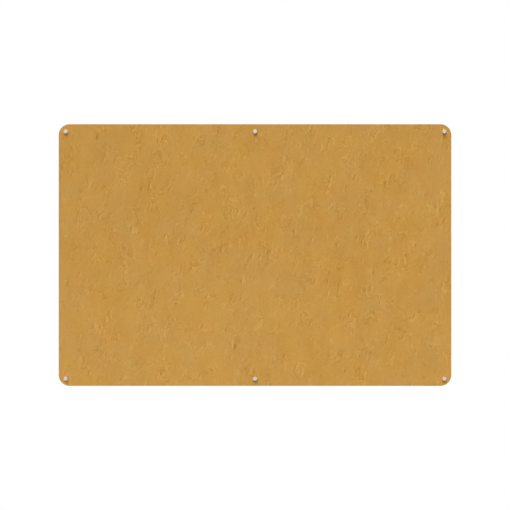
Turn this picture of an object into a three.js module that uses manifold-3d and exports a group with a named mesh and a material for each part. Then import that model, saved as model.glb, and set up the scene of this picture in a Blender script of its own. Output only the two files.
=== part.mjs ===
// Frameless pinboard for a wall: a felt face on a softboard core, held by six screws
// that hide under round disc caps.
//
// Millimetres, +Z up, +X to the right as seen from the front. The wall is the plane y = 0, and the
// board stands in front of it, towards -Y. The origin is the middle of the board's back face.
// The screws and their plugs reach behind that plane, into the wall.

import * as THREE from 'three';
import { mergeVertices } from 'three/addons/utils/BufferGeometryUtils.js';
import Module from 'manifold-3d';

const wasm = await Module();
wasm.setup();

// Board, in three bonded layers
const board_width = 1800;
const board_height = 1200;
const corner_radius = 50;
const felt_thickness = 3;
const core_thickness = 9;
const backing_thickness = 3;

// Where a bush's flange presses into the felt, and how far out the dent runs
const felt_press = 0.6;
const felt_dent_spread = 5;

// Fixings: from the board's edges to their centres
const fixing_inset_x = 33;
const fixing_inset_z = 34;

// Disc cap
const cap_radius = 9.25;
const cap_stand_off = 7.5;
const cap_rim_gap = 0.7;
const cap_edge_round = 0.5;
const cap_back_chamfer = 0.3;
const cap_dimple_radius = 1.3;
const cap_dimple_depth = 0.35;

// Threaded stud behind the cap, drawn at the root of its thread
const stud_radius = 1.2;
const stud_tip_chamfer = 0.4;
const stud_pitch = 0.5;
const stud_engaged_turns = 9;

// Soft washer that stays on the stud, between the bush and the cap
const spacer_radius = 6.8;
const spacer_thickness = 0.8;

// Flanged bush that lines the hole and seats the screw's head
const flange_radius = 7.5;
const flange_thickness = 1.5;
const flange_edge_round = 0.4;
const bush_wall = 2;
const bush_lead_in = 0.6;

// Countersunk screw, its head tapped for the stud
const screw_length = 50;
const head_radius = 4.2;
const head_land = 0.5;
const neck_radius = 2.2;
const neck_length = 14;
const thread_root_radius = 1.6;
const thread_run_out = 0.6;
const screw_tip_length = 6;
const screw_tip_radius = 0.25;
const socket_radius = 1.5;
const socket_spare_depth = 0.6;
const socket_cone_depth = 0.8;

// Ribbed wall plug with four legs and two side fins
const plug_radius = 3.5;
const plug_length = 30;
const plug_lip_radius = 4.4;
const plug_lip_thickness = 0.6;
const plug_mouth_depth = 3;
const plug_nose_radius = 2.7;
const plug_nose_length = 3;
const barb_count = 5;
const barb_depth = 0.45;
const slit_width = 1;
const slit_start = 9;
const fin_width = 0.9;
const fin_height = 0.9;
const fin_start = 1;
const fin_length = 7;
const fin_ramp_share = 0.5;

// Fits
const running_gap = 0.3;
const cut_overrun = 1;

// Facets
const corner_segments = 4;
const hole_segments = 16;
const cap_segments = 24;
const spacer_segments = 16;
const bush_segments = 16;
const screw_segments = 16;
const plug_segments = 16;
const edge_round_steps = 2;

// Where each face lies along the board's normal
const y_backing = -backing_thickness;
const y_core = y_backing - core_thickness;
const y_front = y_core - felt_thickness;
const y_dent = y_front + felt_press;
const y_flange = y_dent - flange_thickness;
const y_spacer = y_flange - spacer_thickness;
const y_cap_face = y_front - cap_stand_off;
const y_cap_rim = y_front - cap_rim_gap;
const y_bush_rear = -plug_lip_thickness - running_gap;

// Radii that follow from the piece inside
const bush_bore_radius = neck_radius + running_gap;
const bush_radius = bush_bore_radius + bush_wall;
const hole_radius = bush_radius + running_gap;
const cap_recess_radius = flange_radius + running_gap;
const dent_radius = flange_radius + running_gap;
const spacer_bore_radius = stud_radius + running_gap;
const plug_mouth_radius = neck_radius + running_gap;
const plug_bore_radius = thread_root_radius + running_gap;

// The stud is this deep in the head when the cap is home, and the cap comes off after its turns
const stud_engaged = stud_engaged_turns * stud_pitch;
const socket_depth = stud_engaged + socket_spare_depth;

const finishes = {
  felt: { color: '#c3944a', roughness: 0.95, metalness: 0 },
  softboard: { color: '#b59a70', roughness: 0.9, metalness: 0 },
  backing: { color: '#8d7355', roughness: 0.75, metalness: 0 },
  cap: { color: '#cfc9c0', roughness: 0.35, metalness: 1 },
  spacer: { color: '#e4e2da', roughness: 0.4, metalness: 0 },
  bush: { color: '#f0eee8', roughness: 0.5, metalness: 0 },
  screw: { color: '#c9ccd0', roughness: 0.35, metalness: 1 },
  plug: { color: '#9b5a3c', roughness: 0.55, metalness: 0 },
};

// Turns a shape drawn as x and z, and extruded, to stand in the board's plane, rear face at y = 0
const upright = new THREE.Matrix4().makeBasis(
  new THREE.Vector3(1, 0, 0),
  new THREE.Vector3(0, 0, 1),
  new THREE.Vector3(0, -1, 0),
);

// Half a turn about the board's normal
const half_turn = new THREE.Matrix4().makeScale(-1, 1, -1);

// A closed geometry as a solid that can be joined and cut. Where a turned outline meets the axis,
// welding leaves triangles with two corners in one, and those go.
function to_solid(geometry) {
  const bare = geometry.clone();
  bare.deleteAttribute('normal');
  bare.deleteAttribute('uv');
  const welded = mergeVertices(bare);
  const corners = welded.index.array;
  const kept = [];
  for (let i = 0; i < corners.length; i += 3) {
    const triangle = corners.slice(i, i + 3);
    if (new Set(triangle).size === 3) kept.push(...triangle);
  }
  return new wasm.Manifold(new wasm.Mesh({
    numProp: 3,
    vertProperties: new Float32Array(welded.attributes.position.array),
    triVerts: new Uint32Array(kept),
  }));
}

function to_geometry(solid) {
  const mesh = solid.getMesh();
  const geometry = new THREE.BufferGeometry();
  geometry.setAttribute('position', new THREE.BufferAttribute(mesh.vertProperties, mesh.numProp));
  geometry.setIndex(new THREE.BufferAttribute(mesh.triVerts, 1));
  geometry.computeVertexNormals();
  return geometry;
}

// A piece turned about the fixing's axis. Its outline is [radius, y] points, anticlockwise.
function turned(outline, segments) {
  const points = outline.map(([radius, y]) => new THREE.Vector2(radius, y));
  if (outline[0][0] > 0) points.push(points[0].clone());
  return new THREE.LatheGeometry(points, segments);
}

// Points of a quarter round on a turned piece's front edge, from the face to the side
function front_round(radius, y_face, size) {
  return Array.from({ length: edge_round_steps + 1 }, (_, step) => {
    const angle = (step / edge_round_steps) * (Math.PI / 2);
    return [radius - size + size * Math.sin(angle), y_face + size - size * Math.cos(angle)];
  });
}

function middle_band_shape() {
  const x = board_width / 2;
  const z = board_height / 2 - corner_radius;
  return new THREE.Shape([
    new THREE.Vector2(-x, -z),
    new THREE.Vector2(x, -z),
    new THREE.Vector2(x, z),
    new THREE.Vector2(-x, z),
  ]);
}

function end_band_shape() {
  const x = board_width / 2;
  const arc_x = x - corner_radius;
  const arc_z = board_height / 2 - corner_radius;
  const shape = new THREE.Shape();
  shape.moveTo(-x, arc_z);
  shape.lineTo(x, arc_z);
  shape.absarc(arc_x, arc_z, corner_radius, 0, Math.PI / 2);
  shape.absarc(-arc_x, arc_z, corner_radius, Math.PI / 2, Math.PI);
  return shape;
}

// One layer of the board with its six holes, lying from y_rear towards the front. The plain middle
// band, where things are pinned, is joined to an end band above and one below, which carry the
// corner rounds and the holes.
function board_layer(y_rear, thickness) {
  const options = { depth: thickness, bevelEnabled: false, curveSegments: corner_segments };
  const band = (shape) =>
    new THREE.ExtrudeGeometry(shape, options).applyMatrix4(upright).translate(0, y_rear, 0);
  const top = band(end_band_shape());
  const slab = to_solid(band(middle_band_shape()))
    .add(to_solid(top))
    .add(to_solid(top.clone().applyMatrix4(half_turn)));
  const drill_length = thickness + 2 * cut_overrun;
  const drill = new THREE.CylinderGeometry(hole_radius, hole_radius, drill_length, hole_segments);
  return cut_at_fixings(slab, drill.translate(0, y_rear - thickness / 2, 0));
}

// The solid with the cutter taken out of it at each fixing
function cut_at_fixings(body, cutter) {
  return fixings().reduce(
    (left, { x, z }) => left.subtract(to_solid(cutter.clone().translate(x, 0, z))),
    body,
  );
}

// The felt is a layer too, dented round each hole by the flange that presses on it
function felt_layer() {
  const y_clear = y_front - cut_overrun;
  const clear_radius = dent_radius + (felt_dent_spread * (y_dent - y_clear)) / felt_press;
  const dent = turned([
    [0, y_clear],
    [clear_radius, y_clear],
    [dent_radius, y_dent],
    [0, y_dent],
  ], hole_segments);
  return cut_at_fixings(board_layer(y_core, felt_thickness), dent);
}

// The six fixings' names and centres, three along each long edge
function fixings() {
  const x = board_width / 2 - fixing_inset_x;
  const z = board_height / 2 - fixing_inset_z;
  return [
    { place: 'top_left', x: -x, z },
    { place: 'top_centre', x: 0, z },
    { place: 'top_right', x, z },
    { place: 'bottom_left', x: -x, z: -z },
    { place: 'bottom_centre', x: 0, z: -z },
    { place: 'bottom_right', x, z: -z },
  ];
}

// Flat disc with a softened edge and a lathe dimple, hollow behind over the flange, and its stud
function disc_cap() {
  const y_stud_tip = y_flange + stud_engaged;
  return turned([
    [0, y_cap_face + cap_dimple_depth],
    [cap_dimple_radius, y_cap_face],
    ...front_round(cap_radius, y_cap_face, cap_edge_round),
    [cap_radius, y_cap_rim - cap_back_chamfer],
    [cap_radius - cap_back_chamfer, y_cap_rim],
    [cap_recess_radius, y_cap_rim],
    [cap_recess_radius, y_spacer],
    [stud_radius, y_spacer],
    [stud_radius, y_stud_tip - stud_tip_chamfer],
    [stud_radius - stud_tip_chamfer, y_stud_tip],
    [0, y_stud_tip],
  ], cap_segments);
}

function spacer_washer() {
  return turned([
    [spacer_bore_radius, y_spacer],
    [spacer_radius, y_spacer],
    [spacer_radius, y_flange],
    [spacer_bore_radius, y_flange],
  ], spacer_segments);
}

// The bush's countersink follows the screw's cone, one running gap outside it
function flanged_bush() {
  const y_seat_rim = y_flange + head_land;
  const y_seat_end = y_seat_rim + head_radius - neck_radius;
  return turned([
    [head_radius + running_gap, y_flange],
    ...front_round(flange_radius, y_flange, flange_edge_round),
    [flange_radius, y_dent],
    [bush_radius, y_dent],
    [bush_radius, y_bush_rear - bush_lead_in],
    [bush_radius - bush_lead_in, y_bush_rear],
    [bush_bore_radius, y_bush_rear],
    [bush_bore_radius, y_seat_end],
    [head_radius + running_gap, y_seat_rim],
  ], bush_segments);
}

// Head flush with the flange, 90 degree countersink, plain neck through the board, pointed shank
function wall_screw() {
  const y_seat_rim = y_flange + head_land;
  const y_neck = y_seat_rim + head_radius - neck_radius;
  const y_neck_end = y_neck + neck_length;
  const y_tip = y_flange + screw_length;
  return turned([
    [0, y_flange + socket_depth + socket_cone_depth],
    [socket_radius, y_flange + socket_depth],
    [socket_radius, y_flange],
    [head_radius, y_flange],
    [head_radius, y_seat_rim],
    [neck_radius, y_neck],
    [neck_radius, y_neck_end],
    [thread_root_radius, y_neck_end + thread_run_out],
    [thread_root_radius, y_tip - screw_tip_length],
    [screw_tip_radius, y_tip],
    [0, y_tip],
  ], screw_segments);
}

// Saw-tooth ribs along the plug's legs: steep towards the mouth, sloping towards the nose
function barb_outline(y_start, y_end) {
  const pitch = (y_end - y_start) / barb_count;
  return Array.from({ length: barb_count }, (_, barb) => [
    [plug_radius, y_start + barb * pitch],
    [plug_radius - barb_depth, y_start + (barb + 1) * pitch],
  ]).flat();
}

// A fin keeps the plug from turning in the wall: it stands out at the mouth and ramps down inwards
function plug_fin() {
  const root = (plug_bore_radius + plug_radius) / 2;
  const crest = plug_radius + fin_height;
  const shape = new THREE.Shape([
    new THREE.Vector2(root, fin_start),
    new THREE.Vector2(crest, fin_start),
    new THREE.Vector2(crest, fin_start + fin_length * (1 - fin_ramp_share)),
    new THREE.Vector2(root, fin_start + fin_length),
  ]);
  const fin = new THREE.ExtrudeGeometry(shape, { depth: fin_width, bevelEnabled: false });
  return fin.translate(0, 0, -fin_width / 2);
}

// The mouth clears the screw's neck, its thin lip lies on the wall, and crossed slits make the legs
function wall_plug() {
  const y_nose = plug_length - plug_nose_length;
  const body = turned([
    [plug_mouth_radius, -plug_lip_thickness],
    [plug_lip_radius, -plug_lip_thickness],
    [plug_lip_radius, 0],
    [plug_radius, 0],
    ...barb_outline(slit_start, y_nose),
    [plug_nose_radius, plug_length],
    [plug_bore_radius, plug_length],
    [plug_bore_radius, plug_mouth_depth + plug_mouth_radius - plug_bore_radius],
    [plug_mouth_radius, plug_mouth_depth],
  ], plug_segments);
  const slit_length = plug_length - slit_start + cut_overrun;
  const slit_span = 2 * (plug_radius + cut_overrun);
  const y_slit = slit_start + slit_length / 2;
  const slit_x = new THREE.BoxGeometry(slit_span, slit_length, slit_width).translate(0, y_slit, 0);
  const slit_z = new THREE.BoxGeometry(slit_width, slit_length, slit_span).translate(0, y_slit, 0);
  const fin = plug_fin();
  return to_geometry(
    to_solid(body)
      .add(to_solid(fin))
      .add(to_solid(fin.clone().applyMatrix4(half_turn)))
      .subtract(to_solid(slit_x))
      .subtract(to_solid(slit_z)),
  );
}

const board = new THREE.Group();

function add(name, geometry, finish, x = 0, z = 0) {
  const mesh = new THREE.Mesh(geometry, new THREE.MeshStandardMaterial(finishes[finish]));
  mesh.name = name;
  mesh.position.set(x, 0, z);
  board.add(mesh);
}

add('backing_sheet', to_geometry(board_layer(0, backing_thickness)), 'backing');
add('softboard_core', to_geometry(board_layer(y_backing, core_thickness)), 'softboard');
add('felt_facing', to_geometry(felt_layer()), 'felt');

for (const { place, x, z } of fixings()) {
  add(`disc_cap_${place}`, disc_cap(), 'cap', x, z);
  add(`spacer_washer_${place}`, spacer_washer(), 'spacer', x, z);
  add(`flanged_bush_${place}`, flanged_bush(), 'bush', x, z);
  add(`wall_screw_${place}`, wall_screw(), 'screw', x, z);
  add(`wall_plug_${place}`, wall_plug(), 'plug', x, z);
}

export default board;
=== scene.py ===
"""Dresses the packed frameless pinboard and sets up the stage that it is looked at on.

The frame is the part's own: metres, +Z up, +X to the right as seen from the front, the wall's surface
at y = 0 and the felt towards -Y. The screws and plugs reach into the wall, towards +Y. Every piece's
mesh is drawn in millimetres and brought to metres once, when it is finished.
"""

import math

import bmesh
import bpy
import numpy as np
from mathutils import Matrix, Vector, noise
from mathutils.geometry import delaunay_2d_cdt


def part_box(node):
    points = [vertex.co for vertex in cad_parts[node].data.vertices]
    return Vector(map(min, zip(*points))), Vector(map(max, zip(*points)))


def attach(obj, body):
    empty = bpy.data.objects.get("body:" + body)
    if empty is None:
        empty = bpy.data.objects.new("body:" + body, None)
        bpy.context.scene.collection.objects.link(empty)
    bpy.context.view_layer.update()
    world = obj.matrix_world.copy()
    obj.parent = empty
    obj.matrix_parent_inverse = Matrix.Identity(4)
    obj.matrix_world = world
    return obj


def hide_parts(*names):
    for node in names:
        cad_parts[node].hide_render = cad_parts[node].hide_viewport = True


bl_info = {
    "name": "Felt Pinboard",
    "version": (1, 0, 0),
    "blender": (4, 5, 0),
    "location": "3D View > Sidebar > Pinboard",
    "description": "Makes a frameless felt pinboard with its face fixings around its packed frame",
    "category": "Object",
}

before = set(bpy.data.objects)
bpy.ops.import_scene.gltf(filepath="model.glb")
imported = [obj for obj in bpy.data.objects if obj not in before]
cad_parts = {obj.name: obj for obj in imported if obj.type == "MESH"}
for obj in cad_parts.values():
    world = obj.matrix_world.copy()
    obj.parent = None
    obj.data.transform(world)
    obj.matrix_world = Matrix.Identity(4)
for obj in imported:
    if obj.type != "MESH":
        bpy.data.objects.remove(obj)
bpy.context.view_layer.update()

MM = 0.001
PLACES = ("top_left", "top_centre", "top_right", "bottom_left", "bottom_centre", "bottom_right")


def node_size(node):
    """A node's box at rest, in millimetres: its lowest corner, its highest corner and its middle."""
    low, high = (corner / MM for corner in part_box(node))
    return low, high, (low + high) / 2


FELT_LOW, FELT_HIGH, _ = node_size("felt_facing")
CORE_LOW, CORE_HIGH, _ = node_size("softboard_core")
BACK_LOW, BACK_HIGH, _ = node_size("backing_sheet")
CAP_LOW, CAP_HIGH, _ = node_size("disc_cap_top_left")
SPACER_LOW, SPACER_HIGH, _ = node_size("spacer_washer_top_left")
BUSH_LOW, BUSH_HIGH, _ = node_size("flanged_bush_top_left")
SCREW_LOW, SCREW_HIGH, _ = node_size("wall_screw_top_left")
PLUG_LOW, PLUG_HIGH, _ = node_size("wall_plug_top_left")
SCREW_MIDDLES = {place: node_size(f"wall_screw_{place}")[2] for place in PLACES}
CENTRES = {place: (middle.x, middle.z) for place, middle in SCREW_MIDDLES.items()}
CAP_RADIUS, SPACER_RADIUS, FLANGE_RADIUS, HEAD_RADIUS = (
    high.x - CENTRES["top_left"][0] for high in (CAP_HIGH, SPACER_HIGH, BUSH_HIGH, SCREW_HIGH)
)


def linear(code):
    """An sRGB hex colour as the linear RGBA that sockets and colour properties take."""
    parts = [int(code[i:i + 2], 16) / 255 for i in (1, 3, 5)]
    return (*[p / 12.92 if p <= 0.04045 else ((p + 0.055) / 1.055) ** 2.4 for p in parts], 1.0)


def size_property(name, description, millimetres):
    return bpy.props.FloatProperty(
        name=name, description=description, default=millimetres * MM, min=0.0, unit="LENGTH", precision=5
    )


def colour_property(name, description, code):
    return bpy.props.FloatVectorProperty(
        name=name, description=description, default=linear(code), size=4, min=0.0, max=1.0, subtype="COLOR"
    )


def angle_property(name, description, degrees, lowest=0):
    return bpy.props.FloatProperty(
        name=name, description=description, default=math.radians(degrees), min=math.radians(lowest),
        max=math.radians(89), subtype="ANGLE"
    )


class PinboardBoard(bpy.types.PropertyGroup):
    """The three bonded layers."""

    corner_radius: size_property("Corner radius", "Radius of the board's four corners", 50)
    hole_radius: size_property("Hole radius", "Radius of the six holes through the board", 4.8)
    felt_edge_round: size_property("Felt edge round", "How far the felt's cut edge rounds over", 1.3)
    felt_press: size_property("Felt press", "How deep a bush's flange presses into the felt", 0.6)
    felt_dent: size_property("Felt dent", "How far the dent runs out from the flange", 6)
    felt_swell: size_property("Felt swell", "How far the felt's face rises and falls over its area", 0.25)
    edge_fray: size_property("Edge fray", "How far the softboard's cut edge wanders", 0.35)
    pale_fibre: colour_property("Pale fibre", "The paler of the two fibres that the felt is blended from",
                                "#dbac60")
    dark_fibre: colour_property("Dark fibre", "The darker of the two fibres that the felt is blended from",
                                "#a26f1e")
    softboard: colour_property("Softboard", "The softboard's colour where it is cut", "#b59a70")
    hardboard: colour_property("Hardboard", "The hardboard's colour", "#7d6146")


class PinboardCap(bpy.types.PropertyGroup):
    """The disc caps and what stays on their studs."""

    edge_round: size_property("Edge round", "Round of the cap's front edge", 0.5)
    rim_round: size_property("Rim round", "Round of the cap's rear rim", 0.3)
    rim_gap: size_property("Rim gap", "Space between the cap's rim and the felt", 0.7)
    recess_radius: size_property("Recess radius", "Radius of the hollow behind the cap", 7.8)
    dimple_radius: size_property("Dimple radius", "Radius of the lathe dimple in the face", 1.3)
    dimple_depth: size_property("Dimple depth", "Depth of the lathe dimple", 0.35)
    stud_root: size_property("Stud root", "Radius of the stud at the root of its thread", 1.2)
    stud_crest: size_property("Stud crest", "Radius of the stud at the crest of its thread", 1.45)
    stud_pitch: size_property("Stud pitch", "Pitch of the stud's thread", 0.5)
    metal: colour_property("Cap", "The cap's anodised metal", "#d2c4b8")


class PinboardFixing(bpy.types.PropertyGroup):
    """The bushes, screws and wall plugs."""

    bush_radius: size_property("Bush radius", "Outer radius of the bush in its hole", 4.5)
    bush_bore: size_property("Bush bore", "Radius of the bush's bore", 2.5)
    head_land: size_property("Head land", "Thickness of the screw head's rim", 0.5)
    neck_radius: size_property("Neck radius", "Radius of the screw's plain neck", 2.2)
    neck_length: size_property("Neck length", "Length of the screw's plain neck", 14)
    thread_root: size_property("Thread root", "Radius of the screw at the root of its thread", 1.6)
    thread_crest: size_property("Thread crest", "Radius of the screw at the crest of its thread", 2.25)
    thread_pitch: size_property("Thread pitch", "Pitch of the screw's thread", 2.0)
    socket_radius: size_property("Socket radius", "Radius of the tapped hole in the head", 1.5)
    socket_depth: size_property("Socket depth", "Depth of the tapped hole in the head", 5.1)
    plug_radius: size_property("Plug radius", "Outer radius of the plug", 3.5)
    plug_lip: size_property("Plug lip", "Radius of the plug's lip", 4.4)
    nylon: colour_property("Bush", "The bush's natural nylon", "#efece2")
    vinyl: colour_property("Spacer", "The spacer washer's clear vinyl", "#e4e2da")
    zinc: colour_property("Screw", "The screw's zinc plating", "#c9ccd0")
    plug: colour_property("Plug", "The wall plug's nylon", "#9b5a3c")


class PinboardStage(bpy.types.PropertyGroup):
    """The camera, the light and the floor."""

    lens: bpy.props.FloatProperty(
        name="Lens", description="Focal length of the camera", default=85.0, min=1.0, unit="CAMERA"
    )
    distance: bpy.props.FloatProperty(
        name="Distance", description="From the camera to the felt", default=5.519, min=0.1, unit="LENGTH"
    )
    key_slant: angle_property("Key slant", "Angle between the key light and the board's normal", 68)
    key_side: angle_property("Key side", "How far left of straight above the key light stands", 9, -89)
    key_width: angle_property("Key width", "Angle that the key light fills, which softens its shadows", 38)
    key_share: bpy.props.FloatProperty(
        name="Key share", description="Share of the felt's light that comes from the key light",
        default=0.5, min=0.0, max=1.0, subtype="FACTOR"
    )
    floor_drop: bpy.props.FloatProperty(
        name="Floor drop", description="From the board's middle down to the floor", default=1.8,
        unit="LENGTH"
    )
    floor: colour_property("Floor", "The floor's pale paint", "#b4b3b1")


def sizes_of(group):
    """A property group's lengths in millimetres, by name."""
    return {key: getattr(group, key) / MM for key in group.__annotations__
            if group.bl_rna.properties[key].unit == "LENGTH"}


# Meshes

# How finely a thread is drawn, in steps round it
RIDGE_SEGMENTS = 32


def softened(corners, closed=False, steps=5):
    """An outline whose corners are rounded. Each corner is (radius, y, round), and 0 stays sharp."""
    points = [Vector(corner[:2]) for corner in corners]
    outline = []
    for i, (point, corner) in enumerate(zip(points, corners)):
        if corner[2] == 0 or (not closed and i in (0, len(points) - 1)):
            outline.append(tuple(point))
            continue
        before, after = points[i - 1] - point, points[(i + 1) % len(points)] - point
        start = point + before.normalized() * min(corner[2], before.length * 0.45)
        end = point + after.normalized() * min(corner[2], after.length * 0.45)
        for step in range(steps + 1):
            t = step / steps
            outline.append(tuple(start * (1 - t) ** 2 + point * 2 * t * (1 - t) + end * t ** 2))
    return outline


def turned(outline, segments, closed=False):
    """Points and faces of a piece turned about the fixing's axis from (radius, y) points."""
    points, rows = [], []
    for radius, y in outline:
        if radius < 1e-6:
            rows.append([len(points)] * segments)
            points.append((0.0, y, 0.0))
            continue
        rows.append(list(range(len(points), len(points) + segments)))
        for k in range(segments):
            angle = 2 * math.pi * k / segments
            points.append((radius * math.cos(angle), y, radius * math.sin(angle)))
    faces = []
    pairs = zip(rows, rows[1:] + rows[:1]) if closed else zip(rows, rows[1:])
    for near, far in pairs:
        for k in range(segments):
            n = (k + 1) % segments
            face = [near[k], near[n], far[n], far[k]]
            faces.append([v for i, v in enumerate(face) if v not in face[:i]])
    return points, [face for face in faces if len(face) > 2]


def thread_ridge(pitch, y_start, y_end, radii, foot, crest_width, fade_turns):
    """Points and faces of a right-hand thread's ridge, a closed strip that is rooted in its core.

    radii(y) gives the radii of the ridge's root and crest at y, where it is foot and crest_width wide.
    The ridge grows and dies over fade_turns at its two ends.
    """
    steps = round((y_end - y_start) / pitch * RIDGE_SEGMENTS)
    points, faces = [], []
    for i in range(steps + 1):
        angle = -2 * math.pi * i / RIDGE_SEGMENTS
        y = y_start + pitch * i / RIDGE_SEGMENTS
        root, crest = radii(y)
        grown = min(1.0, min(i, steps - i) / (fade_turns * RIDGE_SEGMENTS))
        grown = max(0.05, grown * grown * (3 - 2 * grown))
        top = root + (crest - root) * grown
        for radius, width in ((root, -foot), (top, -crest_width), (top, crest_width), (root, foot)):
            points.append((radius * math.cos(angle), y + width / 2 * grown, radius * math.sin(angle)))
    for first in range(0, 4 * steps, 4):
        for k in range(4):
            n = (k + 1) % 4
            faces.append([first + k, first + n, first + 4 + n, first + 4 + k])
    faces += [[0, 1, 2, 3], [4 * steps + k for k in range(4)]]
    return points, faces


def joined(*parts):
    """Several (points, faces) as one."""
    points, faces = [], []
    for part_points, part_faces in parts:
        first = len(points)
        points += part_points
        faces += [[v + first for v in face] for face in part_faces]
    return points, faces


def lofted(near, far):
    """Points and faces that close the space between two outlines with as many points each."""
    count = len(near)
    faces = [list(range(count)), list(range(count, 2 * count))]
    faces += [[k, (k + 1) % count, (k + 1) % count + count, k + count] for k in range(count)]
    return [*near, *far], faces


def prism(outline, y_near, y_far, far_scale=1.0):
    """Points and faces of an (x, z) outline drawn out along y, its far end scaled."""
    return lofted([(x, y_near, z) for x, z in outline],
                  [(x * far_scale, y_far, z * far_scale) for x, z in outline])


def raw_mesh(name, part):
    """A mesh in millimetres with its faces turned outwards."""
    mesh = bpy.data.meshes.new(name)
    mesh.from_pydata(part[0], [], part[1])
    work = bmesh.new()
    work.from_mesh(mesh)
    bmesh.ops.recalc_face_normals(work, faces=work.faces)
    work.to_mesh(mesh)
    work.free()
    return mesh


def part_of(mesh):
    """Takes a mesh apart into its points and faces."""
    part = [tuple(v.co) for v in mesh.vertices], [list(face.vertices) for face in mesh.polygons]
    bpy.data.meshes.remove(mesh)
    return part


def linked(name, data):
    """A new object in the scene."""
    made = bpy.data.objects.new(name, data)
    bpy.context.scene.collection.objects.link(made)
    return made


def carved(body, cutter, operation):
    """The body with the cutter taken out of it or joined to it, both as meshes in millimetres."""
    objects = [linked(mesh.name, mesh) for mesh in (body, cutter)]
    change = objects[0].modifiers.new("change", "BOOLEAN")
    change.operation = operation
    change.solver = "EXACT"
    change.object = objects[1]
    depsgraph = bpy.context.evaluated_depsgraph_get()
    mesh = bpy.data.meshes.new_from_object(objects[0].evaluated_get(depsgraph))
    if not mesh.polygons:
        raise RuntimeError(f"{body.name} came out of its cut empty")
    # A mesh that is removed takes its object with it
    for spent in (body, cutter):
        bpy.data.meshes.remove(spent)
    return mesh


def finished(mesh, name, sharp_angle=35):
    """The mesh in metres under its name, smooth but for its edges."""
    mesh.transform(Matrix.Scale(MM, 4))
    mesh.name = name
    mesh.shade_smooth()
    mesh.set_sharp_from_angle(angle=math.radians(sharp_angle))
    mesh.update()
    return mesh


def placed(name, mesh, material, body, node, at=(0.0, 0.0), turn=0.0):
    """Puts a finished mesh in the frame as the piece that stands for a node."""
    if not mesh.materials:
        mesh.materials.append(material)
    piece = linked(name, mesh)
    piece.matrix_world = Matrix.Translation((at[0] * MM, 0, at[1] * MM)) @ Matrix.Rotation(turn, 4, "Y")
    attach(piece, body)
    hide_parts(node)
    return piece


def at_fixings(*kinds, turn=47):
    """Puts each kind of piece at all six fixings, every fixing turn degrees further round than the last.

    A kind is (name, node, slot, mesh, material, whether it has a body of its own to move with), and its slot
    is not used.
    """
    for number, place in enumerate(PLACES):
        for name, node, slot, mesh, material, moves in kinds:
            body = f"{name}_{place}" if moves else "panel"
            placed(f"{name}_{place}", mesh, material, body, f"{node}_{place}", CENTRES[place],
                   math.radians(turn * number))


# The board's layers

# How finely edges and holes are drawn: mm between points on a straight, steps round a corner and a hole
STRAIGHT_STEP = 8
CORNER_STEPS = 18
HOLE_SEGMENTS = 48
# A face's plain field ends this far from the edge, and at this radius about a fixing
FIELD_INSET = 10
FIELD_HOLE = 16
# How far apart the field's points are on the swelling felt, and on a flat board
FELT_SPACING = 20
BOARD_SPACING = 40


def outline_ring(inset, corner_radius, wander):
    """The board's outline as (x, z) points, inset from its edge and wandering by wander(x, z)."""
    points = []
    for quarter in range(4):
        # One side and the corner after it, as on the top edge, and then turned round to its place
        along, reach = (FELT_HIGH.x, FELT_HIGH.z) if quarter % 2 == 0 else (FELT_HIGH.z, FELT_HIGH.x)
        half = along - corner_radius
        count = round(2 * half / STRAIGHT_STEP)
        edge = [(half - 2 * half * k / count, reach, 0.0, 1.0) for k in range(count)]
        for k in range(CORNER_STEPS):
            angle = math.pi / 2 * (1 + k / CORNER_STEPS)
            out_x, out_z = math.cos(angle), math.sin(angle)
            edge.append((-half + corner_radius * out_x, reach - corner_radius + corner_radius * out_z,
                         out_x, out_z))
        cos, sin = ((1, 0), (0, 1), (-1, 0), (0, -1))[quarter]
        for x, z, out_x, out_z in edge:
            x, z = x * cos - z * sin, x * sin + z * cos
            out_x, out_z = out_x * cos - out_z * sin, out_x * sin + out_z * cos
            pulled = inset + wander(x, z)
            points.append((x - out_x * pulled, z - out_z * pulled))
    return points


def hole_ring(centre, radius):
    """A circle of (x, z) points round a fixing."""
    step = 2 * math.pi / HOLE_SEGMENTS
    return [(centre[0] + radius * math.cos(step * k), centre[1] + radius * math.sin(step * k))
            for k in range(HOLE_SEGMENTS)]


def clear_of_fixings(point, radius):
    return all(math.dist(point, centre) > radius for centre in CENTRES.values())


def field(rings, spacing):
    """Points and triangles that fill a face between its outer ring and the rings of its holes."""
    points, edges = [], []
    for ring in rings:
        first = len(points)
        points += ring
        edges += [(first + k, first + (k + 1) % len(ring)) for k in range(len(ring))]
    fixed = np.array(points)
    limit_x, limit_z = np.abs(fixed).max(axis=0) - spacing * 0.6
    columns, rows = round(2 * limit_x / spacing), round(2 * limit_z / spacing)
    for i in range(columns + 1):
        for j in range(rows + 1):
            at = np.array((-limit_x + 2 * limit_x * i / columns, -limit_z + 2 * limit_z * j / rows))
            if np.hypot(*(fixed - at).T).min() > spacing * 0.45 and clear_of_fixings(at, FIELD_HOLE):
                points.append(tuple(at))
    vertices, _, triangles, _, _, _ = delaunay_2d_cdt([Vector(p) for p in points], edges, [], 0, 1e-5)
    if len(vertices) != len(points):
        raise RuntimeError("the face's field gained or lost points")
    kept = []
    for triangle in triangles:
        middle = sum((vertices[v] for v in triangle), Vector((0, 0))) / 3
        # The ring's own triangles lie a hair inside its circle
        if clear_of_fixings(middle, FIELD_HOLE * 0.999):
            kept.append(list(triangle))
    return [tuple(v) for v in vertices], kept


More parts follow.
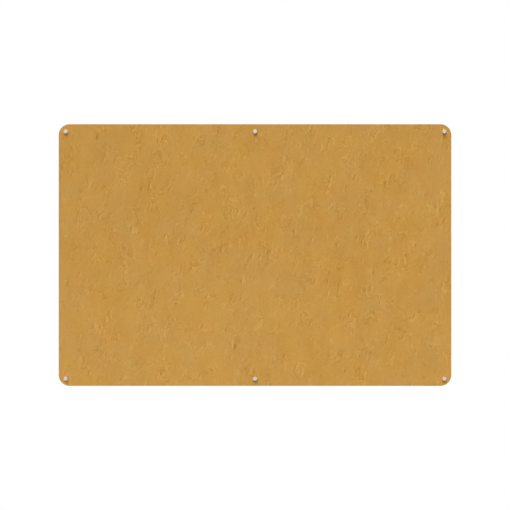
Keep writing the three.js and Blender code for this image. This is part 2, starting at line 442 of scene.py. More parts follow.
def layer(name, edge_rings, hole_rings, corner_radius, spacing, wander, relief):
    """A board layer: a front and a back face, joined round its edge and through its six holes.

    edge_rings are (inset, y) and hole_rings (radius, y), both from the front face's field to the
    back face's. wander(x, z, y) moves the cut edge and relief(x, z) sinks the front face.
    """
    outer = outline_ring(FIELD_INSET, corner_radius, lambda x, z: 0.0)
    around = [hole_ring(centre, FIELD_HOLE) for centre in CENTRES.values()]
    flat, triangles = field([outer, *around], spacing)
    y_front, y_back = edge_rings[0][1], edge_rings[-1][1]
    points = [(x, y_front + relief(x, z), z) for x, z in flat] + [(x, y_back, z) for x, z in flat]
    faces = triangles + [[v + len(flat) for v in reversed(triangle)] for triangle in triangles]

    def join_through(rings, first, count):
        # From the count points of the front face that start at first to the same ones of the back face
        rows = [range(first, first + count)]
        for ring, y in rings:
            rows.append(range(len(points), len(points) + count))
            points.extend((x, y + (relief(x, z) if y < (y_front + y_back) / 2 else 0), z) for x, z in ring)
        rows.append(range(len(flat) + first, len(flat) + first + count))
        for near, far in zip(rows, rows[1:]):
            faces.extend([near[k], near[(k + 1) % count], far[(k + 1) % count], far[k]]
                         for k in range(count))

    join_through([(outline_ring(inset, corner_radius, lambda x, z, y=y: wander(x, z, y)), y)
                  for inset, y in edge_rings[1:-1]], 0, len(outer))
    for number, centre in enumerate(CENTRES.values()):
        join_through([(hole_ring(centre, radius), y) for radius, y in hole_rings[1:-1]],
                     len(outer) + number * HOLE_SEGMENTS, HOLE_SEGMENTS)
    return finished(raw_mesh(name, (points, faces)), name, sharp_angle=40)


def unevenness(x, z, period, seed):
    """A smooth random height from -1 to 1 that changes over about the period, in millimetres."""
    return noise.noise(Vector((x / period, seed, z / period)))


def felt_mesh(board):
    """The felt, with its rolled cut edge, its slight swell and the dents under the bushes' flanges."""
    s = sizes_of(board)
    y_face, y_rear, edge = FELT_LOW.y, FELT_HIGH.y, s["felt_edge_round"]

    def relief(x, z):
        # Flat about a fixing, and swelling by degrees over the next 60 mm
        near = min(math.dist((x, z), centre) for centre in CENTRES.values())
        calm = min(1.0, max(0.0, (near - FIELD_HOLE) / 60))
        swell = 0.6 * unevenness(x, z, 140, 3.1) + 0.4 * unevenness(x, z, 55, 7.7)
        return s["felt_swell"] * calm * (0.5 + 0.5 * swell)

    def wander(x, z, y):
        depth = (y - y_face) / (y_rear - y_face)
        return 0.1 + 0.08 * unevenness(x, z, 24, 1.3 + depth) + 0.06 * unevenness(x, z, 9, 5.9)

    over = [(edge * (1 - math.sin(t)), y_face + edge * (1 - math.cos(t)))
            for t in (math.pi / 2 * k / 6 for k in range(7))]
    edge_rings = [(FIELD_INSET, y_face), (4, y_face), *over, (0, y_rear - 0.7), (0.12, y_rear - 0.15),
                  (0.4, y_rear), (FIELD_INSET, y_rear)]
    hole, pressed = s["hole_radius"], y_face + s["felt_press"]
    hole_rings = [(FIELD_HOLE, y_face)]
    for share in (k / 8 for k in range(9)):
        sunk = s["felt_press"] * (0.5 + 0.5 * math.cos(math.pi * (1 - share) ** 0.7))
        hole_rings.append((FLANGE_RADIUS + 0.25 + s["felt_dent"] * (1 - share), y_face + sunk))
    hole_rings += [(hole + 0.3, pressed), (hole, pressed + 0.3), (hole, y_rear), (FIELD_HOLE, y_rear)]
    return layer("felt_facing_cut", edge_rings, hole_rings, s["corner_radius"], FELT_SPACING, wander,
                 relief)


def board_mesh(board, name, low, high, arris, fray):
    """The softboard core or the hardboard sheet, with its arris and its frayed or clean cut edge."""
    s = sizes_of(board)
    y_face, y_rear, hole = low.y, high.y, s["hole_radius"]

    def wander(x, z, y):
        rough = 0.5 + 0.35 * unevenness(x, z + 3.1 * y, 19, y) + 0.35 * unevenness(x, z, 8.5, y * 2.3)
        return fray * max(0.0, rough)

    depth = y_rear - y_face
    inner = [(0, y_face + arris + (depth - 2 * arris) * k / 5) for k in range(6)]
    edge_rings = [(FIELD_INSET, y_face), (arris, y_face), *inner, (arris, y_rear), (FIELD_INSET, y_rear)]
    hole_rings = [(FIELD_HOLE, y_face), (hole + arris, y_face), (hole, y_face + arris),
                  (hole, y_rear - arris), (hole + arris * 2, y_rear), (FIELD_HOLE, y_rear)]
    return layer(name, edge_rings, hole_rings, s["corner_radius"], BOARD_SPACING, wander,
                 lambda x, z: 0.0)


# Fixings

# The stud's ridge: how wide its foot and its crest are, and how far short of the stud's tip it ends
STUD_RIDGE = (0.34, 0.06)
STUD_RIDGE_END = 0.35


def cap_mesh(cap):
    """A cap: a turned disc with a dimple and a hollow back, and its threaded stud."""
    s = sizes_of(cap)
    y_face, y_tip, y_spacer = CAP_LOW.y, CAP_HIGH.y, SPACER_LOW.y
    y_rim = FELT_LOW.y - s["rim_gap"]
    dimple = [(s["dimple_radius"] * math.sin(t), y_face + s["dimple_depth"] * math.cos(t) ** 1.5)
              for t in (math.pi / 2 * k / 7 for k in range(7))]
    outline = dimple + softened([
        (s["dimple_radius"], y_face, 0.1),
        (s["dimple_radius"] * 1.2, y_face, 0.1),
        (CAP_RADIUS * 0.6, y_face, 0),
        (CAP_RADIUS, y_face, s["edge_round"]),
        (CAP_RADIUS, y_rim, s["rim_round"]),
        (s["recess_radius"], y_rim, 0.15),
        (s["recess_radius"], y_spacer, 0.4),
        (s["stud_root"], y_spacer, 0.25),
        (s["stud_root"], y_tip - 0.4, 0),
        (s["stud_root"] - 0.4, y_tip, 0.1),
        (0, y_tip, 0),
    ], steps=6)
    ridge = thread_ridge(s["stud_pitch"], y_spacer + 1.4, y_tip - STUD_RIDGE_END,
                         lambda y: (s["stud_root"] - 0.05, s["stud_crest"]), *STUD_RIDGE, fade_turns=0.5)
    return finished(raw_mesh("cap", joined(turned(outline, segments=96), ridge)), "disc_cap_turned")


def spacer_mesh(cap):
    """A spacer washer, a little looser than the stud's root that it is captive on."""
    bore = sizes_of(cap)["stud_root"] + 0.3
    outline = softened([
        (bore, SPACER_LOW.y, 0.12),
        (SPACER_RADIUS, SPACER_LOW.y, 0.22),
        (SPACER_RADIUS, SPACER_HIGH.y, 0.22),
        (bore, SPACER_HIGH.y, 0.12),
    ], closed=True, steps=4)
    return finished(raw_mesh("spacer", turned(outline, segments=64, closed=True)), "spacer_washer_moulded")


def bush_mesh(fixing, board):
    """A flanged bush, with four ribs that grip the board."""
    s = sizes_of(fixing)
    y_face, y_rear = BUSH_LOW.y, BUSH_HIGH.y
    y_flange_back = FELT_LOW.y + sizes_of(board)["felt_press"]
    y_seat = y_face + s["head_land"]
    outline = softened([
        (HEAD_RADIUS + 0.3, y_face, 0.12),
        (FLANGE_RADIUS, y_face, 0.45),
        (FLANGE_RADIUS, y_flange_back, 0.15),
        (s["bush_radius"], y_flange_back, 0.25),
        (s["bush_radius"] - 0.08, y_rear - 0.6, 0.1),
        (s["bush_radius"] - 0.6, y_rear, 0.1),
        (s["bush_bore"], y_rear, 0.15),
        (s["bush_bore"], y_seat + HEAD_RADIUS - s["neck_radius"], 0.4),
        (HEAD_RADIUS + 0.3, y_seat, 0.1),
    ], closed=True, steps=4)
    ribs = []
    for k in range(4):
        angle = math.pi / 4 + math.pi / 2 * k
        across = Vector((math.cos(angle), math.sin(angle)))
        side = Vector((-across.y, across.x)) * 0.45
        base, crest = across * (s["bush_radius"] - 0.4), across * (s["bush_radius"] + 0.22)
        rib = [base - side, crest - side * 0.5, crest + side * 0.5, base + side]
        rib = [tuple(point) for point in rib]
        ribs.append(prism(rib, y_flange_back + 0.6, y_rear - 1.2, far_scale=0.96))
    mesh = raw_mesh("bush", joined(turned(outline, segments=64, closed=True), *ribs))
    return finished(mesh, "flanged_bush_moulded")


def cross_outline(reach, half_width):
    """A cross in x and z whose arms end at reach."""
    w, r = half_width, reach
    return [(w, w), (w, r), (-w, r), (-w, w), (-r, w), (-r, -w), (-w, -w), (-w, -r), (w, -r), (w, -w),
            (r, -w), (r, w)]


def screw_mesh(fixing, cap):
    """A countersunk wall screw with a cross drive, its head bored and tapped for the cap's stud."""
    s, stud = sizes_of(fixing), sizes_of(cap)
    y_face, y_tip = SCREW_LOW.y, SCREW_HIGH.y
    y_seat = y_face + s["head_land"]
    y_neck = y_seat + HEAD_RADIUS - s["neck_radius"]
    y_neck_end = y_neck + s["neck_length"]
    y_cone, tip_radius = y_tip - 6, 0.25
    y_socket = y_face + s["socket_depth"]
    outline = softened([
        (0, y_socket + 0.8, 0),
        (s["socket_radius"], y_socket, 0),
        (s["socket_radius"], y_face + 0.3, 0),
        (s["socket_radius"] + 0.3, y_face, 0.08),
        (HEAD_RADIUS, y_face, 0.12),
        (HEAD_RADIUS, y_seat, 0.15),
        (s["neck_radius"], y_neck, 0.6),
        (s["neck_radius"], y_neck_end, 0.15),
        (s["thread_root"], y_neck_end + 0.6, 0.2),
        (s["thread_root"], y_cone, 1.0),
        (tip_radius, y_tip - 0.1, 0.08),
        (0, y_tip, 0),
    ], steps=4)
    cross = cross_outline(reach=2.75, half_width=0.55)
    drive = prism(cross, y_face - 1, y_face + 2.1, far_scale=0.72)
    blank = carved(raw_mesh("screw", turned(outline, segments=48)), raw_mesh("drive", drive), "DIFFERENCE")

    def shank(y):
        down = min(1.0, max(0.0, (y - y_cone) / (y_tip - y_cone)))
        root = s["thread_root"] + (tip_radius - s["thread_root"]) * down
        return root - 0.12, root + (s["thread_crest"] - s["thread_root"]) * (1 - 0.75 * down)

    wood = thread_ridge(s["thread_pitch"], y_neck_end + 1.2, y_tip - 0.5, shank, foot=0.75,
                        crest_width=0.09, fade_turns=0.5)
    # Half a pitch from the stud's own ridge, so that the two run between each other
    home = CAP_HIGH.y - STUD_RIDGE_END
    turns = round((home - (y_face + 2.3)) / stud["stud_pitch"])
    tap_end = home + stud["stud_pitch"] / 2
    tapped = thread_ridge(
        stud["stud_pitch"], tap_end - turns * stud["stud_pitch"], tap_end,
        lambda y: (s["socket_radius"] + 0.06, stud["stud_root"] + 0.07), *STUD_RIDGE, fade_turns=0.4
    )
    mesh = raw_mesh("threaded", joined(part_of(blank), wood, tapped))
    return finished(mesh, "wall_screw_rolled", sharp_angle=30)


def plug_mesh(fixing):
    """A wall plug: barbs, a lip, a stepped bore, two ramped fins and crossed slits."""
    s = sizes_of(fixing)
    y_lip, y_end = PLUG_LOW.y, PLUG_HIGH.y
    mouth, bore = s["neck_radius"] + 0.3, s["thread_root"] + 0.3
    radius, nose_radius = s["plug_radius"], 2.7
    slit_start, y_nose, barbs = 9, y_end - 3, 5
    pitch = (y_nose - slit_start) / barbs
    outline = [
        (mouth + 0.25, y_lip, 0.1),
        (s["plug_lip"], y_lip, 0.25),
        (s["plug_lip"], 0, 0.1),
        (radius, 0, 0.2),
        (radius, 1.5, 0),
    ]
    for barb in range(barbs):
        start = slit_start + barb * pitch
        outline += [
            (radius - (0.45 if barb else 0), start, 0.06),
            (radius, start + 0.12, 0.1),
            (radius - 0.45, start + pitch - 0.12, 0.15),
        ]
    outline += [
        (radius - 0.3, y_nose, 0.2),
        (nose_radius, y_end, 0.35),
        (bore, y_end, 0.1),
        (bore, 3 + mouth - bore, 0.4),
        (mouth, 3, 0.3),
        (mouth, y_lip + 0.25, 0.1),
    ]
    outline = softened(outline, closed=True, steps=3)
    mesh = raw_mesh("plug", turned(outline, segments=48, closed=True))
    fin = [(2.7, 1.0), (4.3, 1.0), (4.4, 1.15), (4.4, 4.5), (2.7, 8.0)]
    for sign in (-1, 1):
        sides = [[(sign * x, y, z) for x, y in fin] for z in (-0.45, 0.45)]
        mesh = carved(mesh, raw_mesh("fin", lofted(*sides)), "UNION")
    slits = prism(cross_outline(reach=6, half_width=0.5), slit_start, y_end + 1)
    mesh = carved(mesh, raw_mesh("slits", slits), "DIFFERENCE")
    return finished(mesh, "wall_plug_moulded", sharp_angle=30)


# Materials


def add_node(tree, kind, inputs=None, **settings):
    """Adds a node with its settings, and with a value or a link for each input.

    A node that is given for an input is linked by its first output.
    """
    made = tree.nodes.new("ShaderNode" + kind)
    for name, value in settings.items():
        setattr(made, name, value)
    for key, value in (inputs or {}).items():
        if isinstance(value, bpy.types.Node):
            value = value.outputs[0]
        if isinstance(value, bpy.types.NodeSocket):
            tree.links.new(value, made.inputs[key])
        else:
            made.inputs[key].default_value = value
    return made


def new_material(name):
    """An empty material, its tree and its object coordinates, which are metres on the piece."""
    material = bpy.data.materials.new(name)
    material.use_nodes = True
    material.node_tree.nodes.clear()
    return material, material.node_tree, add_node(material.node_tree, "TexCoord").outputs["Object"]


def per(millimetres):
    """A pattern's scale, per metre, from its real period in millimetres."""
    return 1 / (millimetres * MM)


# Where nearly all of a noise's values lie
NOISE_SPAN = (0.3, 0.7)


def drawn_cloud(tree, at, period, stretch, tilt=0.0, offset=(0.0, 0.0, 0.0), **noise_inputs):
    """A soft cloud from 0 to 1, its period in mm, drawn out along axes that are tilted about y."""
    mapped = add_node(tree, "Mapping", {
        "Vector": at, "Location": offset, "Rotation": (0.0, math.radians(tilt), 0.0), "Scale": stretch},
        vector_type="TEXTURE")
    return add_node(tree, "TexNoise", {"Vector": mapped, "Scale": per(period), **noise_inputs})


def shaded(tree, base, *shades):
    """The base colour times its shades.

    A shade is (field, span, values): it runs between the two values as the field crosses its span.
    """
    colour = tuple(base[:3])
    for shading, span, values in shades:
        shade = add_node(tree, "MapRange", {
            "Value": shading, "From Min": span[0], "From Max": span[1],
            "To Min": values[0], "To Max": values[1]})
        colour = add_node(tree, "VectorMath", {0: colour, "Scale": shade}, operation="SCALE")
    return colour


def close_material(material, colour, gloss, bumps, **fixed):
    """Ends a material's tree in its surface, and gives the material back.

    gloss is a (field, span, values) as a shade is, for the roughness. bumps are (field, strength,
    height in mm), the one that lies deepest first.
    """
    tree = material.node_tree
    glossing, span, values = gloss
    roughness = add_node(tree, "MapRange", {
        "Value": glossing, "From Min": span[0], "From Max": span[1],
        "To Min": values[0], "To Max": values[1]})
    surface = {"Base Color": colour, "Roughness": roughness}
    for bumping, strength, height in bumps:
        under = {"Normal": surface["Normal"]} if "Normal" in surface else {}
        surface["Normal"] = add_node(tree, "Bump", {
            "Strength": strength, "Distance": height * MM, "Height": bumping, **under})
    surface.update((name.replace("_", " "), value) for name, value in fixed.items())
    shader = add_node(tree, "BsdfPrincipled", surface)
    add_node(tree, "OutputMaterial", {"Surface": shader})
    return material


# What marls the felt: each strength is a share of the way from the dark fibre to the pale one, and
# periods, widths and lengths are in mm. Clouds: period, how far they are drawn out upright, strength.
FELT_CLOUDS = ((900, 1.0, 0.17), (75, 1.4, 0.19), (11, 1.5, 0.03))
# Curled strands with a painted highlight along one side and painted shade along the other, as if raised:
# period, how far they are drawn out, tilt in degrees, half their width as a share of the cloud that they run
# along, strength
FELT_STRANDS = ((45, 2.0, 12, 0.06, 0.15), (28, 1.5, 25, 0.09, 0.07))
# Straight tufts: width and length of the cell that holds one, tilt in degrees, whether it has a painted
# highlight on one flank and painted shade on the other as if raised, strength
FELT_TUFTS = (
    (20, 80, 12, False, -0.06), (10, 30, 18, False, 0.03), (36, 60, 10, False, -0.04),
    (28, 76, 14, True, 0.36), (24, 50, -16, True, 0.25), (26, 52, 62, True, 0.29), (26, 64, 22, True, 0.31),
)
# Half the width of the turn from a tuft's painted dark flank to its painted pale one, as a share of its cell
PAINTED_FLANK = 0.22
# Single fibres that cross each other: the layers' tilts in degrees, how much paler a fibre is than what
# it lies on, and the share of the face that they cover
FIBRE_TILTS = (4, -52, 61)
FIBRE_STRENGTH = 0.25
FIBRE_COVER = 0.45
# Faint patches a hand wide where the dye took unevenly: the two tints that they lean to, and their period
FELT_DYES = (
    ((1.012, 1.0, 0.92), (0.988, 1.0, 1.08), 160),
    ((1.015, 0.991, 1.0), (0.985, 1.009, 1.0), 90),
)


def felt_material(board):
    """Wool felt, carded from a pale and a dark ochre fibre and needle punched.

    It gives the eye a flat, warm ochre without any gloss, marled by short tufts and curls of paler and
    darker fibre, many with a painted highlight along one side and painted shade along the other. Most
    of them lie upright and lean a little to the right, and a soft unevenness shows under the slanting light.
    """
    material, tree, at = new_material("needle_punched_wool_felt")
    # The card lays the fibre upright, and the lay wanders a few millimetres to either side
    waves = add_node(tree, "TexNoise", {"Vector": at, "Scale": per(150), "Detail": 1.0})
    sway = add_node(tree, "VectorMath", {
        0: waves.outputs["Color"], 1: (16 * MM, 0.0, 10 * MM), 2: at}, operation="MULTIPLY_ADD")
    # Loose fibre frays the edge of every mark by a few millimetres
    fray = add_node(tree, "TexNoise", {"Vector": at, "Scale": per(4), "Detail": 4.0, "Roughness": 0.7})
    lay = add_node(tree, "VectorMath", {
        0: fray.outputs["Color"], 1: (12 * MM, 0.0, 12 * MM), 2: sway}, operation="MULTIPLY_ADD")
    # Each mark is a field and its weight
    marks = []
    for number, (period, stretch, strength) in enumerate(FELT_CLOUDS):
        cloud = drawn_cloud(tree, lay, period, (1.0, 1.0, stretch), offset=(number, 0.0, 0.0),
                            Detail=1.0, Roughness=0.6)
        marks.append((cloud, strength))
    # Strands and the tufts with painted flanks crowd together in some places and leave others calm
    crowd = add_node(tree, "TexNoise", {"Vector": lay, "Scale": per(62), "Detail": 2.0, "Roughness": 0.6})
    crowded = add_node(tree, "MapRange", {
        "Value": crowd, "From Min": 0.41, "From Max": 0.63, "To Min": 0.12},
        interpolation_type="SMOOTHSTEP")
    for number, (period, stretch, tilt, width, strength) in enumerate(FELT_STRANDS):
        cloud = drawn_cloud(tree, lay, period, (1.0, 1.0, stretch), tilt, (number, 1.0, 0.0),
                            Detail=2.0, Distortion=1.0)
        # A strand runs where the cloud is halfway: one turn of a sine across it, painted light on one side
        # and painted shade on the other, and nothing beside it
        turn = add_node(tree, "MapRange", {
            "Value": cloud, "From Min": 0.5 - width, "From Max": 0.5 + width,
            "To Min": -math.pi, "To Max": math.pi})
        strand_light_and_shade = add_node(tree, "Math", {0: turn}, operation="SINE")
        weight = add_node(tree, "Math", {0: crowded, 1: strength}, operation="MULTIPLY")
        marks.append((strand_light_and_shade, weight))
    for number, (width, length, tilt, painted_flanks, strength) in enumerate(FELT_TUFTS):
        mapped = add_node(tree, "Mapping", {
            "Vector": lay, "Location": (number, 2.0, 0.0), "Rotation": (0.0, math.radians(tilt), 0.0),
            "Scale": (width * MM, width * MM, length * MM)}, vector_type="TEXTURE")
        cell = add_node(tree, "TexVoronoi", {"Vector": mapped, "Scale": 1.0})
        weight = add_node(tree, "MapRange", {
            "Value": cell.outputs["Distance"], "From Min": 0.35, "From Max": 0.08, "To Max": strength},
            interpolation_type="SMOOTHSTEP")
        # The flanks are painted light and shade: pale on one side of the tuft and dark on the other, as a
        # raised tuft would catch the light
        if painted_flanks:
            out = add_node(tree, "VectorMath", {0: mapped, 1: cell.outputs["Position"]},
                           operation="SUBTRACT")
            side = add_node(tree, "SeparateXYZ", {0: out})
            flank_light_and_shade = add_node(tree, "MapRange", {
                "Value": side.outputs["X"], "From Min": PAINTED_FLANK, "From Max": -PAINTED_FLANK,
                "To Min": -1.0, "To Max": 1.0}, interpolation_type="SMOOTHSTEP")
            for share in (flank_light_and_shade, crowded):
                weight = add_node(tree, "Math", {0: weight, 1: share}, operation="MULTIPLY")
        # Each cell draws its own shade, most of them either pale or dark
        drawn = add_node(tree, "MapRange", {
            "Value": cell.outputs["Color"], "From Min": 0.25, "From Max": 0.75,
            "To Min": -1.0, "To Max": 1.0})
        marks.append((weight, drawn))
    # Single fibres cross each other every way, drawn ten times as thick as wool so that they show
    fibres = 0.0
    for number, tilt in enumerate(FIBRE_TILTS):
        cloud = drawn_cloud(tree, sway, 1.3, (1.0, 1.0, 6.0), tilt, (number, 4.0, 0.0),
                            Detail=1.0, Distortion=0.4)
        off = add_node(tree, "Math", {0: cloud, 1: 0.5}, operation="SUBTRACT")
        size = add_node(tree, "Math", {0: off}, operation="ABSOLUTE")
        fibre = add_node(tree, "MapRange", {
            "Value": size, "From Min": 0.06, "From Max": 0.0}, interpolation_type="SMOOTHSTEP")
        fibres = add_node(tree, "Math", {0: fibre, 1: fibres}, operation="MAXIMUM")
    marks.append((fibres, FIBRE_STRENGTH))
    # Starts where the clouds and the single fibres bring it to halfway between the two shades
    blend = 0.5 - sum(strength for _, _, strength in FELT_CLOUDS) / 2 - FIBRE_STRENGTH * FIBRE_COVER
    for mark, weight in marks:
        blend = add_node(tree, "Math", {0: mark, 1: weight, 2: blend}, operation="MULTIPLY_ADD")
    colour = add_node(tree, "Mix", {
        "Factor": blend, 6: tuple(board.dark_fibre), 7: tuple(board.pale_fibre)}, data_type="RGBA",
        clamp_factor=False).outputs[2]
    for number, (one, other, period) in enumerate(FELT_DYES):
        patch = drawn_cloud(tree, at, period, (1.0, 1.0, 1.0), offset=(-number, -3.0, 0.0),
                            Detail=3.0, Roughness=0.75)
        lean = add_node(tree, "MapRange", {
            6: patch, 7: (0.35, 0.35, 0.35), 8: (0.65, 0.65, 0.65), 9: one, 10: other},
            data_type="FLOAT_VECTOR", clamp=False)
        colour = add_node(tree, "VectorMath", {0: colour, 1: lean.outputs["Vector"]}, operation="MULTIPLY")
    # Slubs raised by the needles, their tops pressed a little smoother, and the single fibres over them
    slubs = add_node(tree, "TexNoise", {"Vector": lay, "Scale": per(9), "Detail": 2.0})
    return close_material(
        material, colour, gloss=(slubs, NOISE_SPAN, (1.0, 0.88)),
        bumps=((slubs, 1.0, 0.2), (fibres, 1.0, 0.06)), Specular_IOR_Level=0.08, Sheen_Weight=0.08,
        Sheen_Roughness=0.6, Sheen_Tint=tuple(board.pale_fibre)
    )


def softboard_material(board):
    """Wood-fibre softboard, sawn to size.

    It gives the eye a dry edge without any gloss: crumbs of torn fibre, pale and dark, that lie flat as
    the board was pressed, with small pits where the saw pulled some of them out, the pits drawn darker
    as painted shade.
    """
    material, tree, at = new_material("sawn_wood_fibre_softboard")
    # The crumbs are three times as long in the board's plane as they are thick
    crumbs = drawn_cloud(tree, at, 2, (3.0, 1.0, 3.0), Detail=4.0, Roughness=0.65)
    batches = add_node(tree, "TexNoise", {"Vector": at, "Scale": per(70), "Detail": 2.0})
    # Partly the crumbs' own pale and dark tone and partly painted shade: the colour is darkest where the
    # same field sinks the bump into pits
    colour = shaded(tree, board.softboard, (crumbs, (0.3, 0.65), (0.62, 1.15)),
                    (batches, (0.35, 0.65), (0.9, 1.08)))
    return close_material(material, colour, gloss=(crumbs, (0.0, 1.0), (1.0, 0.85)),
                          bumps=((crumbs, 1.0, 0.6),), Specular_IOR_Level=0.2)


def hardboard_material(board):
    """Hardboard, wet pressed, its screen side outwards.

    It gives the eye a warm brown back, clouded where the pulp settled thicker, waffled by the wire
    screen that the water left through with painted shade in its dips and painted light on its crests,
    and scuffed paler where the board was stood and slid about.
    """
    material, tree, at = new_material("wet_pressed_screen_back_hardboard")
    clouds = add_node(tree, "TexNoise", {"Vector": at, "Scale": per(160), "Detail": 5.0, "Roughness": 0.7})
    flecks = add_node(tree, "TexNoise", {"Vector": at, "Scale": per(12), "Detail": 5.0, "Roughness": 0.75})
    # The screen's wires are 1.6 mm apart, drawn at 13 mm so that they show when the whole back is seen
    turns = add_node(tree, "VectorMath", {0: at, "Scale": math.tau * per(13)}, operation="SCALE")
    waves = add_node(tree, "VectorMath", {0: turns}, operation="SINE")
    split = add_node(tree, "SeparateXYZ", {0: waves})
    waffle = add_node(tree, "Math", {0: split.outputs["X"], 1: split.outputs["Z"]}, operation="MULTIPLY")
    slides = drawn_cloud(tree, at, 14, (14.0, 1.0, 1.0), tilt=24, Detail=3.0, Roughness=0.6)
    # The waffle's dips are drawn darker and its crests paler: painted shade and light over its bump
    colour = shaded(
        tree, board.hardboard, (clouds, NOISE_SPAN, (0.9, 1.14)), (flecks, NOISE_SPAN, (0.72, 1.26)),
        (waffle, (-1.0, 1.0), (0.9, 1.1)), (slides, (0.6, 0.72), (1.0, 1.3))
    )
    return close_material(material, colour, gloss=(clouds, NOISE_SPAN, (0.72, 0.5)),
                          bumps=((waffle, 1.0, 0.25), (flecks, 0.8, 0.3)), Specular_IOR_Level=0.4)


def cap_material(cap):
    """Aluminium, faced on a lathe and satin anodised.

    It gives the eye a warm, softly shining silver disc, with fine rings about its middle drawn as lighter
    and darker rings of painted reflection, and a face that fingers have dulled in patches.
    """
    material, tree, at = new_material("lathe_faced_anodised_aluminium")
    handled = add_node(tree, "TexNoise", {"Vector": at, "Scale": per(5), "Detail": 3.0})
    radial = add_node(tree, "VectorMath", {0: at, 1: (1.0, 0.0, 1.0)}, operation="MULTIPLY")
    radius = add_node(tree, "VectorMath", {0: radial}, operation="LENGTH").outputs["Value"]
    # The tool moved on 0.1 mm a turn, drawn at 0.5 mm so that its rings show in a close view
    turns = add_node(tree, "Math", {0: radius, 1: math.tau * per(0.5)}, operation="MULTIPLY")
    rings = add_node(tree, "Math", {0: turns}, operation="SINE")
    # Swirls that the tool's edge left, each ring a shade apart from the next: painted reflection, where the
    # rings would catch the light differently
    painted_ring_reflections = add_node(tree, "TexNoise", {
        "W": radius, "Scale": per(1.2), "Detail": 4.0, "Roughness": 0.8}, noise_dimensions="1D")
    colour = shaded(tree, cap.metal, (handled, NOISE_SPAN, (1.03, 0.97)), (painted_ring_reflections, NOISE_SPAN, (0.93, 1.07)))
    return close_material(material, colour, gloss=(handled, NOISE_SPAN, (0.3, 0.44)),
                          bumps=((rings, 1.0, 0.01),), Metallic=1.0)


def mottled_material(name, base, mottle, grain, shades, gloss, bump, **fixed):
    """A material whose shade and gloss drift with one noise, and whose surface rises with another.

    mottle and grain are (period in mm, detail), and bump is (strength, height in mm).
    """
    material, tree, at = new_material(name)
    drift, rise = (
        add_node(tree, "TexNoise", {"Vector": at, "Scale": per(period), "Detail": detail})
        for period, detail in (mottle, grain)
    )
    colour = shaded(tree, base, (drift, NOISE_SPAN, shades))
    return close_material(material, colour, (drift, NOISE_SPAN, gloss), ((rise, *bump),), **fixed)


def vinyl_material(fixing):
    """Soft clear vinyl, moulded.

    It gives the eye a cloudy, faintly yellow ring that lets some light through and shines softly.
    """
    return mottled_material(
        "moulded_clear_vinyl", fixing.vinyl, mottle=(3, 2.0), grain=(3, 2.0), shades=(0.94, 1.04),
        gloss=(0.2, 0.4), bump=(0.5, 0.05), Transmission_Weight=0.75, IOR=1.53
    )


def nylon_material(name, base):
    """Nylon, injection moulded.

    It gives the eye a waxy half gloss over the faint orange peel of the mould, and a shade that shifts a
    little where the melt flowed together.
    """
    return mottled_material(name, base, mottle=(6, 2.0), grain=(0.6, 1.0), shades=(0.93, 1.04),
                            gloss=(0.36, 0.52), bump=(0.6, 0.03), IOR=1.53)


def zinc_material(fixing):
    """Steel, its thread rolled, zinc plated.

    It gives the eye a cool grey shine that breaks into brighter and duller patches, as plating does.
    """
    return mottled_material(
        "rolled_zinc_plated_steel", fixing.zinc, mottle=(2.5, 3.0), grain=(2.5, 3.0), shades=(0.84, 1.05),
        gloss=(0.22, 0.42), bump=(0.5, 0.02), Metallic=1.0
    )


def paint_material(stage):
    """Floor paint, rolled on.

    It gives the eye a plain pale ground that takes the object's shadow, a little uneven in its shade.
    """
    return mottled_material(
        "rolled_pale_floor_paint", stage.floor, mottle=(600, 2.0), grain=(4, 2.0), shades=(0.985, 1.015),
        gloss=(0.75, 0.85), bump=(0.3, 0.1), Specular_IOR_Level=0.2
    )


# Operators


class PINBOARD_OT_felt(bpy.types.Operator):
    """Makes the felt facing, with its rounded cut edge and the dents under the six bushes"""

    bl_idname = "pinboard.felt"
    bl_label = "Felt Facing"

    def execute(self, context):
        board = context.scene.pinboard_board
        piece = placed("felt_sheet", felt_mesh(board), felt_material(board), "panel", "felt_facing")
        return {"FINISHED"}


class PINBOARD_OT_boards(bpy.types.Operator):
    """Makes the softboard core and the hardboard sheet behind it"""

    bl_idname = "pinboard.boards"
    bl_label = "Softboard And Hardboard"

    def execute(self, context):
        board = context.scene.pinboard_board
        fray = sizes_of(board)["edge_fray"]
        core = board_mesh(board, "softboard_sawn", CORE_LOW, CORE_HIGH, arris=0.4, fray=fray)
        placed("softboard_layer", core, softboard_material(board), "panel", "softboard_core")
        # The denser hardboard frays less
        back = board_mesh(board, "hardboard_sawn", BACK_LOW, BACK_HIGH, arris=0.25, fray=fray * 0.3)
        placed("hardboard_sheet", back, hardboard_material(board), "panel", "backing_sheet")
        return {"FINISHED"}


class PINBOARD_OT_caps(bpy.types.Operator):
    """Makes the six disc caps and the spacer washers on their studs"""

    bl_idname = "pinboard.caps"
    bl_label = "Disc Caps"

    def execute(self, context):
        cap, fixing = context.scene.pinboard_cap, context.scene.pinboard_fixing
        at_fixings(
            ("cap", "disc_cap", "cap_metal", cap_mesh(cap), cap_material(cap), True),
            ("spacer", "spacer_washer", "clear_pvc", spacer_mesh(cap), vinyl_material(fixing), True),
        )
        return {"FINISHED"}


class PINBOARD_OT_bushes(bpy.types.Operator):
    """Makes the six flanged bushes that line the holes"""

    bl_idname = "pinboard.bushes"
    bl_label = "Flanged Bushes"

    def execute(self, context):
        fixing = context.scene.pinboard_fixing
        mesh = bush_mesh(fixing, context.scene.pinboard_board)
        material = nylon_material("moulded_natural_nylon", fixing.nylon)
        at_fixings(("bush", "flanged_bush", "natural_nylon", mesh, material, False))
        return {"FINISHED"}


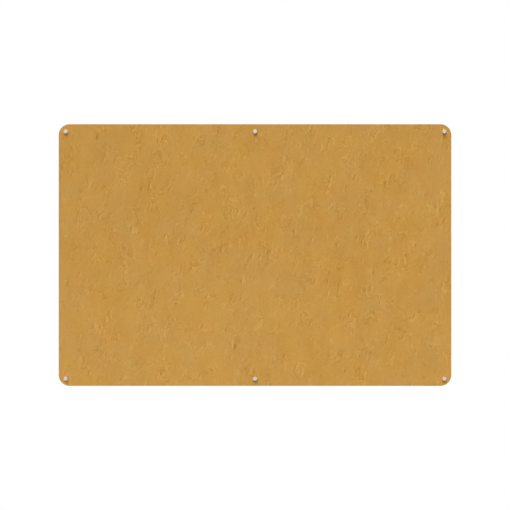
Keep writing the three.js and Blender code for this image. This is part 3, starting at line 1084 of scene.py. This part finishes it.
class PINBOARD_OT_screws(bpy.types.Operator):
    """Makes the six countersunk screws, their heads tapped for the caps' studs"""

    bl_idname = "pinboard.screws"
    bl_label = "Wall Screws"

    def execute(self, context):
        fixing = context.scene.pinboard_fixing
        mesh = screw_mesh(fixing, context.scene.pinboard_cap)
        at_fixings(("screw", "wall_screw", "zinc_steel", mesh, zinc_material(fixing), False))
        return {"FINISHED"}


class PINBOARD_OT_plugs(bpy.types.Operator):
    """Makes the six barbed wall plugs"""

    bl_idname = "pinboard.plugs"
    bl_label = "Wall Plugs"

    def execute(self, context):
        fixing = context.scene.pinboard_fixing
        material = nylon_material("moulded_brown_nylon", fixing.plug)
        at_fixings(("plug", "wall_plug", "plug_nylon", plug_mesh(fixing), material, False), turn=0)
        return {"FINISHED"}


class PINBOARD_OT_stage(bpy.types.Operator):
    """Sets up the camera, the light and the floor"""

    bl_idname = "pinboard.stage"
    bl_label = "Stage"

    def execute(self, context):
        scene, stage = context.scene, context.scene.pinboard_stage
        scene.view_settings.view_transform = "Standard"
        camera = linked("front_camera", bpy.data.cameras.new("front_camera"))
        camera.data.lens = stage.lens
        camera.data.sensor_width = 36.0
        camera.location = (0, FELT_LOW.y * MM - stage.distance, 0)
        camera.rotation_euler = (math.pi / 2, 0, 0)
        scene.camera = camera

        key = linked("key_light", bpy.data.lights.new("key_light", "SUN"))
        key.data.angle = stage.key_width
        key.data.energy = stage.key_share * math.pi / math.cos(stage.key_slant)
        towards = Vector((math.sin(stage.key_slant) * math.sin(stage.key_side), math.cos(stage.key_slant),
                          -math.sin(stage.key_slant) * math.cos(stage.key_side)))
        key.rotation_mode = "QUATERNION"
        key.rotation_quaternion = towards.to_track_quat("-Z", "Y")

        # Even light from all round, and plain white wherever it is seen or mirrored
        scene.world = bpy.data.worlds.new("studio")
        scene.world.use_nodes = True
        tree = scene.world.node_tree
        tree.nodes.clear()
        path = add_node(tree, "LightPath")
        seen = path.outputs["Is Camera Ray"]
        for ray in ("Is Glossy Ray", "Is Transmission Ray"):
            seen = add_node(tree, "Math", {0: seen, 1: path.outputs[ray]}, operation="MAXIMUM")
        level = add_node(tree, "MapRange", {"Value": seen, "To Min": 1 - stage.key_share, "To Max": 1.0})
        sky = add_node(tree, "Background", {"Color": (1.0, 1.0, 1.0, 1.0), "Strength": level})
        add_node(tree, "OutputWorld", {"Surface": sky})

        # Far enough down to stay out of the front view
        mesh = bpy.data.meshes.new("floor")
        x, front, rear, z = 2.5, -0.9, 1.5, -stage.floor_drop
        mesh.from_pydata([(-x, front, z), (x, front, z), (x, rear, z), (-x, rear, z)], [], [(0, 1, 2, 3)])
        mesh.materials.append(paint_material(stage))
        linked("floor", mesh)
        return {"FINISHED"}


STEPS = (
    PINBOARD_OT_stage,
    PINBOARD_OT_felt,
    PINBOARD_OT_boards,
    PINBOARD_OT_caps,
    PINBOARD_OT_bushes,
    PINBOARD_OT_screws,
    PINBOARD_OT_plugs,
)
GROUPS = {
    "pinboard_board": PinboardBoard,
    "pinboard_cap": PinboardCap,
    "pinboard_fixing": PinboardFixing,
    "pinboard_stage": PinboardStage,
}


class PINBOARD_PT_panel(bpy.types.Panel):
    """Lists the pinboard's sizes, colours and making steps"""

    bl_label = "Pinboard"
    bl_idname = "PINBOARD_PT_panel"
    bl_space_type = "VIEW_3D"
    bl_region_type = "UI"
    bl_category = "Pinboard"

    def draw(self, context):
        layout = self.layout
        for name, group in GROUPS.items():
            box = layout.box()
            box.label(text=group.__doc__)
            for key in group.__annotations__:
                box.prop(getattr(context.scene, name), key)
        for step in STEPS:
            layout.operator(step.bl_idname)


CLASSES = (*GROUPS.values(), *STEPS, PINBOARD_PT_panel)


def register():
    for cls in CLASSES:
        bpy.utils.register_class(cls)
    for name, group in GROUPS.items():
        setattr(bpy.types.Scene, name, bpy.props.PointerProperty(type=group))


def unregister():
    for name in GROUPS:
        delattr(bpy.types.Scene, name)
    for cls in reversed(CLASSES):
        bpy.utils.unregister_class(cls)


def main():
    register()
    bpy.ops.pinboard.stage()
    bpy.ops.pinboard.felt()
    bpy.ops.pinboard.boards()
    bpy.ops.pinboard.caps()
    bpy.ops.pinboard.bushes()
    bpy.ops.pinboard.screws()
    bpy.ops.pinboard.plugs()


if __name__ == "__main__":
    main()
